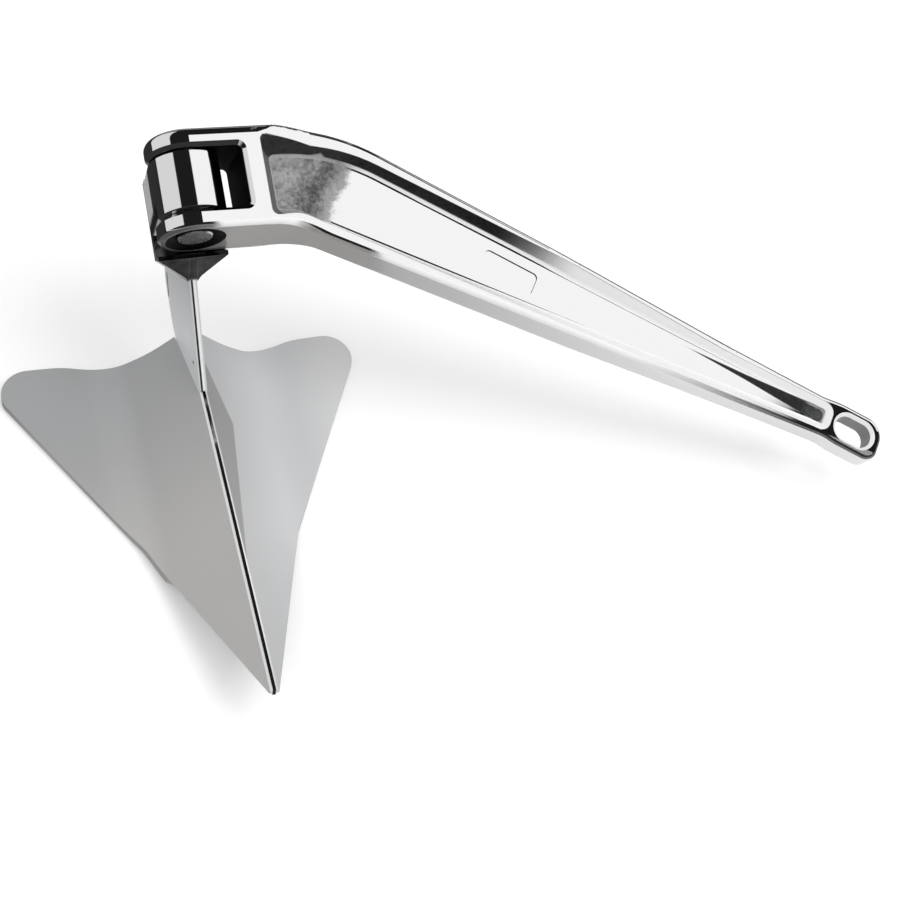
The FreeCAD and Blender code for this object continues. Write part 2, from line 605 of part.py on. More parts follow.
def make_neck():
    """The neck: a wedge with its thin edge forward, cut to its outline in side view."""
    kink_back = "(<kink_along> * sin(<ridge_slope>) - <nose_forward>)"
    kink_drop = "(<nose_drop> - <kink_along> * cos(<ridge_slope>))"
    slope = f"atan(({kink_back} - <neck_top_back>) / ({kink_drop} - <neck_top_drop>))"

    wedge = start_body("neck_wedge")
    section = start_sketch(wedge, "neck_section", "XY_Plane", "-<fork_height> * 2")
    draw_outline(section, [
        ("0", "<neck_edge> / 2"),
        ("-<neck_chord>", "<neck_width> / 2"),
        ("-<neck_chord> * 3", "<neck_width> / 2"),
        ("-<neck_chord> * 3", "-<neck_width> / 2"),
        ("-<neck_chord>", "-<neck_width> / 2"),
        ("0", "-<neck_edge> / 2"),
    ])
    pad(wedge, "neck_prism", section, "<fork_height> * 4")
    lean = Rotation(Vector(0, 1, 0), size_of(slope))
    top = Vector(-size_of("<neck_top_back>"), 0, -size_of("<neck_top_drop>"))
    wedge.Placement = Placement(top, lean)

    outline = start_body("neck_outline")
    side = start_sketch(outline, "neck_side", "XZ_Plane")
    root_x = f"-{kink_back} - <neck_root> * cos(<ridge_slope>)"
    root_z = f"-{kink_drop} - <neck_root> * sin(<ridge_slope>)"
    draw_outline(side, [
        ("-<wall_distance>", "<fork_height> - <upper_ear> - <side_gap>"),
        ("-<wall_distance> - <wall_depth>", "<fork_height> - <upper_ear> - <side_gap>", "<wall_depth>"),
        ("-<neck_back>", "<neck_crown>", "<neck_width>"),
        ("-<neck_back>", "-<neck_back_drop>", "<neck_width>"),
        (root_x, root_z),
        (f"-{kink_back}", f"-{kink_drop}"),
        ("-<neck_top_back>", "-<neck_top_drop>"),
        ("-<wall_distance>", "-<neck_top_drop>"),
    ])
    pad(outline, "neck_plate", side, "<neck_width> * 2", both_ways=True)
    neck = doc.addObject("Part::MultiCommon", "neck")
    neck.Shapes = [wedge, outline]
    return neck


def make_hinge_barrel():
    """The barrel that turns on the pin, with the block that joins it to the wall."""
    body = start_body("hinge_barrel")
    foot = "<lower_ear> + <side_gap>"
    height = "<fork_height> - <upper_ear> - <lower_ear> - 2 * <side_gap>"
    ring = start_sketch(body, "barrel_section", "XY_Plane", foot)
    draw_circle(ring, "0", "0", "<barrel_radius>")
    pad(body, "barrel", ring, height)
    block = start_sketch(body, "block_section", "XY_Plane", foot)
    block_end = "-<wall_distance> - <wall_depth> / 2"
    draw_outline(block, [
        ("0", "-<barrel_radius>"),
        ("0", "<barrel_radius>"),
        (block_end, "<barrel_radius>"),
        (block_end, "-<barrel_radius>"),
    ])
    blank = pad(body, "barrel_block", block, height)
    doc.recompute()
    ends = edges_where(blank.Shape, on_barrel_end)
    bevel = body.newObject("PartDesign::Chamfer", "barrel_edges")
    bevel.Base = (blank, ends)
    bind(bevel, "Size", "<barrel_bevel>")
    return body


def on_barrel_end(edge):
    """True for the outline of the barrel's two ends, apart from the back of its block."""
    levels = [vertex.Z for vertex in edge.Vertexes]
    if max(levels) - min(levels) > 1e-4:
        return False
    return not lies_along(edge, Vector(0, 1, 0))


def make_plough_head(neck):
    """Hinge barrel, wall and neck, in one casting with one bore."""
    casting = doc.addObject("Part::MultiFuse", "head_casting")
    casting.Shapes = [make_hinge_barrel(), make_hinge_wall(), neck]
    casting.Refine = True
    bore = doc.addObject("Part::Cylinder", "barrel_bore")
    bind(bore, "Radius", "<pin_radius> + <running_gap>")
    bind(bore, "Height", "<fork_height>")
    head = doc.addObject("Part::Cut", "plough_head")
    head.Base = casting
    head.Tool = bore
    head.Label = "plough_head"
    return head


def ridge_frame():
    """Blade frame: +X up the ridge from the nose, +Y to port, +Z into the plough square to the ridge."""
    nose = Vector(size_of("<nose_forward>"), 0, -size_of("<nose_drop>"))
    return Placement(nose, Rotation(Vector(0, 1, 0), -90 - size_of("<ridge_slope>")))


def make_blade(name, hand, neck):
    """One bent blade plate. hand is 1 for port and -1 for starboard."""
    body = start_body(name + "_plate")
    side = "" if hand > 0 else "-"

    # Section across the ridge: a steep leg, a bend and a flatter wing, one plate thick
    profile = start_sketch(body, name + "_profile", "YZ_Plane")
    drop = "<bend_across> * tan(<leg_angle>)"
    rise = "(<blade_half> + <tip_radius> - <bend_across>) * tan(<wing_angle>)"
    inner_bend = "<plate> * tan((<leg_angle> - <wing_angle>) / 2)"
    edge_in = "<ridge_width> / 2"
    out = "<blade_half> + <tip_radius>"
    bend_y = f"<bend_across> - <plate> * sin(<leg_angle>) - {inner_bend} * cos(<leg_angle>)"
    bend_z = f"{drop} + <plate> * cos(<leg_angle>) - {inner_bend} * sin(<leg_angle>)"
    draw_outline(profile, [
        (f"{side}({edge_in})", f"{edge_in} * tan(<leg_angle>)"),
        (f"{side}(<bend_across>)", drop, "<bend_radius>"),
        (f"{side}({out})", f"{drop} + {rise}"),
        (f"{side}({out})", f"{drop} + {rise} + <plate> / cos(<wing_angle>)"),
        (f"{side}({bend_y})", bend_z, "<bend_radius> - <plate>"),
        (f"{side}({edge_in})", f"{edge_in} * tan(<leg_angle>) + <plate> / cos(<leg_angle>)"),
    ])
    pad(body, name + "_strip", profile, f"{TIP_ALONG} + <tip_radius>")

    # Outline of the blade, cut square to the ridge. The front edge was straight on the flat plate.
    bend_along = "((<bend_across> - <edge_start>) / (tan(<edge_angle>) * cos(<leg_angle>)))"
    wing_run = "((<blade_half> - <bend_across>) / (tan(<edge_angle>) * cos(<wing_angle>)))"
    edge_at_nose = "(<edge_start> + <nose_blunt> * tan(<edge_angle>) * cos(<leg_angle>))"
    trim = start_sketch(body, name + "_outline", "XY_Plane")
    limit = f"{TIP_ALONG} + 2 * <tip_radius>"
    draw_outline(trim, [
        ("-<tip_radius>", "0"),
        ("-<tip_radius>", f"{side}(<blade_half> + 2 * <tip_radius>)"),
        (limit, f"{side}(<blade_half> + 2 * <tip_radius>)"),
        (limit, "0"),
        ("<kink_along>", "0"),
        ("<heel_along>", f"{side}(<heel_across>)"),
        ("<heel_along> + <hollow_rise>", f"{side}(<hollow_across>)", "<back_curve>"),
        ("<heel_along> + <hollow_rise> + <crest_rise>", f"{side}(<crest_across>)", "<back_curve>"),
        (TIP_ALONG, f"{side}(<blade_half>)", "<tip_radius>"),
        (f"{bend_along} + {wing_run}", f"{side}(<blade_half>)", "<tip_radius>"),
        (bend_along, f"{side}(<bend_across>)", "<bend_radius>"),
        ("<nose_blunt>", f"{side}({edge_at_nose})"),
        ("<nose_blunt>", "0"),
    ])
    cut_through(body, name + "_trim", trim)

    # The front edge of the leg is dressed square to the plate, fading out where the bend begins
    dress = start_sketch(body, name + "_edge", "XY_Plane")
    tilt = Rotation(Vector(1, 0, 0), hand * size_of("<leg_angle>"))
    dress.AttachmentOffset = Placement(Vector(0, 0, 0), tilt)
    half_bend = "<bend_radius> * tan((<leg_angle> - <wing_angle>) / 2) * cos(<leg_angle>)"
    leg_end = f"((<bend_across> - {half_bend} - <edge_start>) / (tan(<edge_angle>) * cos(<leg_angle>)))"
    at_point = "(<edge_start> / cos(<leg_angle>) - <tip_radius> * tan(<edge_angle>))"
    at_leg_end = f"(<edge_start> / cos(<leg_angle>) + {leg_end} * tan(<edge_angle>))"
    draw_outline(dress, [
        ("-<tip_radius>", f"{side}({at_point})"),
        (leg_end, f"{side}({at_leg_end})"),
        (f"{leg_end} + <blade_half>", f"{side}({at_leg_end} + <blade_half>)"),
        ("-<tip_radius>", f"{side}({at_leg_end} + <blade_half>)"),
    ])
    cut_through(body, name + "_dressing", dress)
    body.Placement = ridge_frame()
    blade = doc.addObject("Part::Cut", name)
    blade.Base = body
    blade.Tool = neck
    blade.Label = name
    return blade


def make_ridge_bar(neck):
    """The narrow bar that the two blades are welded to along the ridge."""
    body = start_body("ridge_strip")
    side = start_sketch(body, "ridge_side", "XZ_Plane")
    draw_outline(side, [
        ("<nose_blunt>", "<ridge_set>"),
        ("<kink_along>", "<ridge_set>"),
        ("<kink_along>", "<ridge_depth>"),
        ("<ridge_depth> * 3", "<ridge_depth>"),
        ("<nose_blunt>", "<ridge_width> * 3"),
    ])
    pad(body, "ridge_blank", side, "<ridge_width>", both_ways=True)
    body.Placement = ridge_frame()
    bar = doc.addObject("Part::Cut", "ridge_bar")
    bar.Base = body
    bar.Tool = neck
    bar.Label = "ridge_bar"
    return bar


def make_ballast():
    """A cast wedge behind the ridge bar, between the two plates, that weights the nose."""
    body = start_body("nose_ballast")
    side = start_sketch(body, "ballast_side", "XZ_Plane")
    edge_out = "(<edge_start> + <ballast_end> * tan(<edge_angle>) * cos(<leg_angle>))"
    back = f"{edge_out} * tan(<leg_angle>) - <ballast_set>"
    start = ("((<ridge_depth> + <ballast_set>) / tan(<leg_angle>) - <edge_start>)"
             " / (tan(<edge_angle>) * cos(<leg_angle>))")
    draw_outline(side, [
        (start, "<ridge_depth>"),
        ("<ballast_end>", "<ridge_depth>"),
        ("<ballast_end>", back),
    ])
    pad(body, "ballast_blank", side, "<blade_half>", both_ways=True)
    flank = start_sketch(body, "ballast_flank", "YZ_Plane")
    apex = "<plate> / cos(<leg_angle>)"
    draw_outline(flank, [
        (f"(<ridge_depth> / 2 - {apex}) / tan(<leg_angle>)", "<ridge_depth> / 2"),
        ("<blade_half>", "<ridge_depth> / 2"),
        ("<blade_half>", f"{apex} + <bend_across> * 2 * tan(<leg_angle>)"),
        ("<bend_across> * 2", f"{apex} + <bend_across> * 2 * tan(<leg_angle>)"),
    ])
    flank_cut = cut_through(body, "flank_trim", flank)
    mirror(body, "flank_trims", flank_cut, "XZ_Plane")
    body.Placement = ridge_frame()
    return body


def lay_down(nodes):
    """Turns the plough in the fork, lays everything as it comes to rest and sets it on z = 0, centred."""
    turn = Rotation(size_of("<rest_yaw_angle>"), size_of("<rest_pitch_angle>"), size_of("<rest_roll_angle>"))
    swing = Placement(Vector(0, 0, 0), Rotation(Vector(0, 0, 1), size_of("<hinge_turn_angle>")))
    resting = Placement(Vector(0, 0, 0), turn)
    for node in nodes:
        carried_by_shank = node.Label in ("shank", "hinge_pin")
        place = resting if carried_by_shank else resting.multiply(swing)
        node.Placement = place.multiply(node.Placement)
    doc.recompute()
    box = Part.makeCompound([node.Shape for node in nodes]).optimalBoundingBox(True, False)
    shift = Placement(Vector(-box.Center.x, -box.Center.y, -box.ZMin), Rotation())
    for node in nodes:
        node.Placement = shift.multiply(node.Placement)
    doc.recompute()
    return shift.multiply(resting)


neck = make_neck()
nodes = [make_shank(), make_hinge_pin(), make_plough_head(neck), make_ridge_bar(neck)]
nodes.append(make_blade("port_blade", 1, neck))
nodes.append(make_blade("starboard_blade", -1, neck))
nodes.append(make_ballast())
doc.recompute()

for item in doc.Objects:
    if "Invalid" in item.State or "Error" in item.State:
        raise RuntimeError(f"{item.Name} failed: {item.getStatusString()}")

lying = lay_down(nodes)
hinge_point = lying.multVec(Vector(0, 0, size_of("<fork_height> / 2")))
hinge_axis = lying.Rotation.multVec(Vector(0, 0, 1))
print("hinge at", [round(value, 4) for value in hinge_point], "mm")
print("hinge axis", [round(value, 6) for value in hinge_axis])
print("shank frame at", [round(value, 5) for value in lying.Base], "mm")
print("shank frame turn", [round(value, 8) for value in lying.Rotation.Q])

os.makedirs("parts", exist_ok=True)
for node in nodes:
    shape = node.Shape
    if shape.isNull() or not shape.isValid():
        raise RuntimeError(f"{node.Label} has no valid shape")
    shape.exportStep(f"parts/{node.Label}.step")
    volume = round(shape.Volume / 1000, 2)
    print(node.Label, volume, "cm3", len(shape.Solids), "solid", len(shape.Faces), "faces")
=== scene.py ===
"""Looks of a hinged plough anchor: mirror-polished cast shank, satin plough blades, white studio floor."""

import math

import bpy
from mathutils import Matrix, Quaternion, Vector

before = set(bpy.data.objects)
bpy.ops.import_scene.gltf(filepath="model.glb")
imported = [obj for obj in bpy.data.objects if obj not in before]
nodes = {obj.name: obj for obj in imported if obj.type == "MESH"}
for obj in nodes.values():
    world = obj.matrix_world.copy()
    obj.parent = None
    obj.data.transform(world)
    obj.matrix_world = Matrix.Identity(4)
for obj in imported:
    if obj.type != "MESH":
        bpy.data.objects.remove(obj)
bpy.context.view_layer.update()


def grey(level):
    return (level, level, level, 1.0)


# Lengths are in metres. A pair of them is where a soft step starts and where it is full; a row of three
# is the two ends of a band and the softness of those ends.

# The shank's own frame in the row frame: pin axis along +Z, shank along +X, near side -Y
SHANK_ORIGIN = Vector((-0.14489661, 0.06159734, 0.15152728))
SHANK_TURN = Quaternion((0.83652505, -0.50439926, -0.06316092, 0.20449433))
SHANK = Matrix.Translation(SHANK_ORIGIN) @ SHANK_TURN.to_matrix().to_4x4()

# The straight bar behind the fork: +X down the top line from the bend, +Z out of the top line
FORK_TOP = 0.0582
BAR_START = (0.0815, 0.0, FORK_TOP)
BAR_SLOPE = math.radians(33.2)
BAR = SHANK @ Matrix.Translation(BAR_START) @ Matrix.Rotation(BAR_SLOPE, 4, "Y")

# The plough head's frame, turned in the fork: +X ahead of the pin, +Z up the pin
HINGE_TURN = math.radians(-96.6)
HEAD = SHANK @ Matrix.Rotation(HINGE_TURN, 4, "Z")

# The blades' frame: +X up the ridge from the nose, +Z into the plough
NOSE_PLACE = (0.0122, 0.0, -0.2542)
RIDGE_SLOPE = math.radians(21.8)
NOSE = Matrix.Translation(NOSE_PLACE) @ Matrix.Rotation(-math.pi / 2 - RIDGE_SLOPE, 4, "Y")
PLOUGH = HEAD @ NOSE

# The photograph's camera, recovered from the anchor's own edges, in the shank's frame
CAMERA_PLACE = Vector((-0.2953, -1.0583, -0.3676))
CAMERA_RIGHT = Vector((0.9275, -0.3259, -0.1831))
CAMERA_AHEAD = Vector((0.3601, 0.9106, 0.2029))
FOCAL_PIXELS = 2103.8
IMAGE_PIXELS = 900
SENSOR_MM = 36.0

# Underside of the shank: the bend behind the fork and the slope after it
UNDERSIDE_BEND = 0.0575
UNDERSIDE_SLOPE = math.tan(math.radians(26.65))

# Half widths of the shank's flanges. A taper is where it starts and how fast it narrows
FORK_HALF = 0.0205
FORK_TAPER = (0.043, 0.009 / 0.0275)
BAR_HALF = 0.0115
BAR_TAPER = (0.210, 0.0039 / 0.090)
EYE_HALF = 0.0076
FACE_HOLLOW = (0.0375, 0.0485, 0.003)
FACE_HOLLOW_DEPTH = 0.0006

# The pocket and the web in its middle
BEHIND_FACE = (0.0001, 0.0003)
POCKET_RIM = (0.0026, 0.0036)
POCKET_ENDS = (0.036, 0.367, 0.001)
WEB_THINS = (0.12, 0.17)
WEB_HALVES = (0.0042, 0.00402)
WALL_FOOT = (0.0, 0.00005)
WALL_FACE = (0.0052, 0.0060)

# Casting skin in the pocket, with painted shade near the fork wall and on the walls beside it
SKIN_RAGGEDNESS = 0.022
SKIN_END = (0.030, 0.011)
SKIN_SHADE = (0.004, 0.020, 0.009)
SKIN_SHADE_DEPTH = 0.16
SKIN_TONE_RANGE = (0.24, 0.66)
SKIN_ON_WALLS_SHARE = 0.7
FORK_WALL_END = (0.0480, 0.0470)
TOP_WALL_DEPTH = (0.0156, 0.0146)
TOP_WALL_END = (0.170, 0.110)

# The lower edge that was broken by hand, and the stretches where it was left crisp
BROKEN_WIDTH = (0.0028, 0.0026)
BROKEN_START = (0.004, 0.012)
CRISP_AT_BEND = (0.012, 0.056, 0.006)
CRISP_AT_EYE = (0.20, 0.33)

# The eye: how its polish changes, and the shackle slot's middle and rims
EYE_POLISH = (0.330, 0.350)
WAVES_END = (0.350, 0.320)
SLOT_MIDDLE = 0.3584
SLOT_BELOW_TOP = 0.0126
SLOT_HALF_STRAIGHT = 0.0045
EYE_START = (0.340, 0.342)
BEVEL_RADIUS = (0.0096, 0.0095)
BORE_RADIUS = (0.0080, 0.0078)
BEVEL_FOOT = (0.0055, 0.0057)

# The open slot of the fork, whose throat and ear faces are painted black as shade
THROAT_HEIGHTS = (0.0130, 0.0445, 0.0003)
EAR_HEIGHTS = (0.0107, 0.0467, 0.0001)
THROAT_END = (0.0305, 0.0300)
EAR_SIDES = (0.0185, 0.0180)
SLOT_SIDES = (0.0188, 0.0182)

# The wedge ground into the web near the eye. A slope is where it starts and how fast it climbs
WEDGE_DRIFT = (0.2433, 0.0135)
WEDGE_SLIM = (0.2433, 0.040)
WEDGE_BROAD = (0.2600, 0.067)
WEDGE_MIDDLE = 0.0132
WEDGE_HALF = 0.0046
WEDGE_EDGE = (-0.0002, 0.0004)
WEDGE_SIDE = (0.0052, 0.0044)
WEDGE_END = (0.3395, 0.3375)
EYE_SKIN_START = (0.3235, 0.3285)

# Undersides, darkened towards the fork by painted shade, and the countersink round the pin, painted black as
# shade
UNDERSIDE_EDGE = (0.0016, 0.0008)
UNDERSIDE_TONES_ALONG = (0.02, 0.30)
UNDERSIDE_FROM_PIN = (0.0169, 0.0171)
COUNTERSINK_RADIUS = (0.0170, 0.0168)
COUNTERSINK_DEPTH = (0.0060, 0.0050)
DULL_SLANT = -0.6
DULL_END = (0.0535, 0.0515)
DULL_TONES_ALONG = (-0.012, 0.022)

# The pin's end faces, with a painted highlight on the rim
PIN_RIM = (0.0090, 0.0098, 0.0002)
TURNING_MARKS = 14000.0

# The head: its lip, the neck under it and the wall beside the barrel
BELOW_LIP = (-0.0043, -0.0047)
LIP_HEIGHTS = (-0.0046, -0.0014, 0.0001)
LIP_FRONT = (-0.0340, -0.0335)
BEHIND_LIP = (-0.0340, -0.0345)
NECK_HALF = 0.0021
NECK_TAPER = (-0.033, -0.0057 / 0.044)
NECK_FLARE = (0.0002, 0.0004)
SHADE_START = (-0.0165, -0.0170)
SHADE_FOOT = (-0.0190, -0.0180)
FRONT_HALF = (0.0025, 0.0023)
FRONT_SHADE_FOOT = (-0.0125, -0.0115)
WALL_SHADE_FRONT = (-0.0225, -0.0230)
WALL_SHADE_BACK = (-0.0245, -0.0240)
WALL_SHADE_TOP = (0.0118, 0.0108)
WALL_SIDE = (-0.0188, -0.0192)
# Painted light on the flank, and the bands of the painted highlight and dark reflection on the neck's edge
FLANK_SIDE = (0.0192, 0.0194)
FLANK_ENDS = (-0.0300, -0.0070, 0.0010)
FLANK_FOOT = (0.0180, 0.0230)
EDGE_HIGHLIGHT_BAND = (-0.0001, 0.0011, 0.0002)
EDGE_REFLECTION_BAND = (-0.0014, -0.0003, 0.0002)

# The slit near the neck's back edge and the weld pit at its foot, both painted black as shade
SLIT_PLACE = 0.0811
SLIT_LEAN = 0.615
SLIT_WIDTH = (-0.0024, 0.0024, 0.0003)
SLIT_HEIGHTS = (-0.0042, 0.0080, 0.0008)
SLIT_SIDE = (-0.0070, -0.0073)
PIT_PLACE = (-0.0626, -0.0031, -0.0512)
PIT_RADIUS = (0.0014, 0.0007)

# The blades: the painted highlight on the strip beside the ridge, and the painted light and shade that
# change their tones
RIDGE_STRIP = (0.0022, 0.0018)
MIRROR_STRIP = (0.0010, 0.0008)
NEAR_RIDGE = (0.045, 0.004)
NEAR_RIDGE_SHARE = 0.35
WING = (0.050, 0.105)
WING_SHARE = 0.6
WARM_END = (0.235, 0.110)
WARM_SHARE = 0.50
BRUSHING_STRETCH = (6.0, 220.0, 220.0)

# A painted dark reflection on the port blade, a long narrow wedge beside the ridge: each side's distance
# from the ridge at one place, that place and the slope there
DARK_REFLECTION_UPPER = (0.0089, 0.2143, -0.257)
DARK_REFLECTION_LOWER = (0.0063, 0.1148, 0.131)
DARK_REFLECTION_EDGE = (0.0, 0.0008)

# Noise patterns: scale, detail and roughness
CAST_LUMPS = (75.0, 4.0, 0.65)
CAST_GRAIN = (420.0, 5.0, 0.62)
CAST_PITS = (1500.0, 3.0, 0.6)
CAST_PATCHES = (110.0, 3.0, 0.55)
POLISH_WEAR = (120.0, 3.0, 0.6)
POLISH_WAVES = (26.0, 1.0, 0.4)
PIN_WEAR = (400.0, 3.0, 0.6)
PLATE_BRUSHING = (9.0, 4.0, 0.6)
PLATE_CLOUDS = (14.0, 2.0, 0.5)
PLATE_GRAIN = (1400.0, 2.0, 0.6)
STRIP_WEAR = (150.0, 3.0, 0.6)
NECK_CLOUDS = (30.0, 2.0, 0.5)
SHADE_STREAKS = (210.0, 3.0, 0.6)
BALLAST_LUMPS = (180.0, 5.0, 0.6)

# Tones of the steel, painted light and painted dark among them, and how rough its mirror polish is. A pair
# is mixed by a pattern or along a length
WHITE = grey(1.0)
PAINTED_DARK = grey(0.02)
GROUND = grey(0.93)
PAINTED_LIGHT = grey(0.92)
POLISHED_SHANK = (0.90, 0.90, 0.905, 1.0)
POLISHED_HEAD = (0.88, 0.88, 0.885, 1.0)
BORE = grey(0.26)
SKIN_ON_WALLS = grey(0.62)
CAST_TONES = (grey(0.10), grey(0.62))
FORK_WALL_SHADE_TONES = (grey(0.08), grey(0.30))
TOP_WALL_SHADE_TONES = (grey(0.01), grey(0.09))
WEDGE_TONES = (grey(0.03), grey(0.10))
EYE_SKIN_TONES = ((0.10, 0.104, 0.11, 1.0), (0.46, 0.47, 0.48, 1.0))
UNDERSIDE_FINISH_AND_SHADE_TONES = (grey(0.46), grey(0.84))
DULL_FINISH_AND_SHADE_TONES = (grey(0.14), (0.42, 0.405, 0.39, 1.0))
PIN_TONES = (grey(0.20), grey(0.30))
PIN_RIM_HIGHLIGHT = grey(0.80)
STRIP_TONES = (PAINTED_LIGHT, grey(0.80))
NECK_TONES = ((0.77, 0.785, 0.80, 1.0), (0.85, 0.865, 0.875, 1.0))
SHADE_TONES = (grey(0.03), grey(0.17))
BALLAST_TONES = (grey(0.06), grey(0.16))
MIRROR_ROUGHNESS = (0.020, 0.050)


class Tree:
    """Short calls to build one node tree."""

    def __init__(self, tree):
        self.nodes = tree.nodes
        self.links = tree.links

    def put(self, socket, value):
        """Link another node's output to a socket, or set the socket's own value."""
        if isinstance(value, bpy.types.NodeSocket):
            self.links.new(value, socket)
        else:
            socket.default_value = value

    def fill(self, node, **inputs):
        """Put values in a node's named inputs. An underscore stands for a space."""
        for name, value in inputs.items():
            self.put(node.inputs[name.replace("_", " ")], value)

    def add(self, kind, settings=None, numbered=None, **inputs):
        """A new node, with its settings and with inputs given by number or by name."""
        node = self.nodes.new(kind)
        for key, value in (settings or {}).items():
            setattr(node, key, value)
        for number, value in (numbered or {}).items():
            self.put(node.inputs[number], value)
        self.fill(node, **inputs)
        return node

    def math(self, operation, *values):
        node = self.add("ShaderNodeMath", {"operation": operation}, dict(enumerate(values)))
        return node.outputs[0]

    def chain(self, operation, values):
        """One operation taken through all the values in turn."""
        result = values[0]
        for value in values[1:]:
            result = self.math(operation, result, value)
        return result

    def plus(self, *values):
        return self.chain("ADD", values)

    def times(self, *values):
        return self.chain("MULTIPLY", values)

    def most(self, *values):
        return self.chain("MAXIMUM", values)

    def least(self, *values):
        return self.chain("MINIMUM", values)

    def minus(self, first, second):
        return self.math("SUBTRACT", first, second)

    def absolute(self, value):
        return self.math("ABSOLUTE", value)

    def length(self, x, y):
        """Length of the flat vector x, y."""
        return self.math("SQRT", self.plus(self.times(x, x), self.times(y, y)))

    def line(self, value, start, slope):
        """A straight line that is 0 at start."""
        return self.times(self.minus(value, start), slope)

    def step(self, value, low, high):
        """0 below low, 1 above high, smooth between. low may be above high."""
        node = self.add("ShaderNodeMapRange", {"interpolation_type": "SMOOTHSTEP"}, Value=value)
        flip = low > high
        start, end = (high, low) if flip else (low, high)
        self.fill(node, From_Min=start, From_Max=end, To_Min=float(flip), To_Max=float(not flip))
        return node.outputs["Result"]

    def between(self, value, low, high, soft):
        """1 between low and high, 0 outside, with soft edges."""
        above = self.step(value, low - soft, low + soft)
        below = self.step(value, high + soft, high - soft)
        return self.times(above, below)

    def blend(self, share, low, high):
        """A number between low and high."""
        return self.add("ShaderNodeMix", {"data_type": "FLOAT"}, {0: share, 2: low, 3: high}).outputs[0]

    def tint(self, share, low, high):
        """A colour between low and high."""
        return self.add("ShaderNodeMix", {"data_type": "RGBA"}, {0: share, 6: low, 7: high}).outputs[2]

    def coats(self, mix, base, *coats):
        """Each coat covers those before it. It is a mask and what shows there; mix is tint or blend."""
        for mask, coat in coats:
            base = mix(mask, base, coat)
        return base

    def noise(self, vector, scale, detail, roughness):
        node = self.add("ShaderNodeTexNoise", Vector=vector, Scale=scale, Detail=detail, Roughness=roughness)
        return node.outputs["Fac"]

    def bump(self, height, distance, strength, normal=None):
        node = self.add("ShaderNodeBump", Height=height, Distance=distance, Strength=strength)
        if normal is not None:
            self.fill(node, Normal=normal)
        return node.outputs["Normal"]

    def in_frame(self, matrix):
        """Object coordinates seen in another frame: the vector, then its x, y and z."""
        coordinates = self.add("ShaderNodeTexCoord").outputs["Object"]
        mapping = self.add("ShaderNodeMapping", {"vector_type": "TEXTURE"}, Vector=coordinates,
                           Location=matrix.translation, Rotation=matrix.to_euler("XYZ"))
        split = self.add("ShaderNodeSeparateXYZ", None, {0: mapping.outputs["Vector"]})
        return mapping.outputs["Vector"], split.outputs[0], split.outputs[1], split.outputs[2]


class Metal(Tree):
    """The node tree of a new metal."""

    def __init__(self, name):
        self.material = bpy.data.materials.new(name)
        self.material.use_nodes = True
        super().__init__(self.material.node_tree)
        self.surface(Metallic=1.0)

    def surface(self, **inputs):
        self.fill(self.nodes["Principled BSDF"], **inputs)


def flange_half_width(tree, x):
    """Half the width of the shank's flanges at x."""
    narrowing = tree.minus(FORK_HALF, tree.line(x, *FORK_TAPER))
    thinning = tree.minus(BAR_HALF, tree.most(tree.line(x, *BAR_TAPER), 0.0))
    half_width = tree.least(tree.most(narrowing, thinning, EYE_HALF), FORK_HALF)
    return tree.minus(half_width, tree.times(tree.between(x, *FACE_HOLLOW), FACE_HOLLOW_DEPTH))


def shackle_slot(tree, along, below, side):
    """Round the shackle slot: a bright bevel and a dull bore."""
    past_straight = tree.minus(tree.absolute(tree.minus(along, SLOT_MIDDLE)), SLOT_HALF_STRAIGHT)
    from_slot = tree.length(tree.most(past_straight, 0.0), tree.minus(below, SLOT_BELOW_TOP))
    at_eye = tree.step(along, *EYE_START)
    bevel = tree.times(at_eye, tree.step(from_slot, *BEVEL_RADIUS), tree.step(side, *BEVEL_FOOT))
    bore = tree.times(at_eye, tree.step(from_slot, *BORE_RADIUS), tree.step(side, *BEVEL_FOOT[::-1]))
    return bevel, bore


def fork_slot(tree, x, z, side):
    """The throat of the fork and the inner faces of its ears, painted black as shade."""
    before_end = tree.step(x, *THROAT_END)
    throat = tree.times(tree.between(z, *THROAT_HEIGHTS), before_end)
    ears = tree.times(tree.between(z, *EAR_HEIGHTS), tree.step(side, *EAR_SIDES), before_end)
    return tree.times(tree.most(throat, ears), tree.step(side, *SLOT_SIDES))


def web_wedge(tree, along, below, side, pocket):
    """The dark wedge that the wheel left down the middle of the web, and the skin at its eye end."""
    middle = tree.plus(below, tree.line(along, *WEDGE_DRIFT))
    off_middle = tree.absolute(tree.minus(middle, WEDGE_MIDDLE))
    widening = tree.most(tree.line(along, *WEDGE_SLIM), tree.line(along, *WEDGE_BROAD))
    wedge = tree.step(tree.minus(tree.least(widening, WEDGE_HALF), off_middle), *WEDGE_EDGE)
    wedge = tree.times(pocket, wedge, tree.step(side, *WEDGE_SIDE), tree.step(along, *WEDGE_END))
    return wedge, tree.times(wedge, tree.step(along, *EYE_SKIN_START))


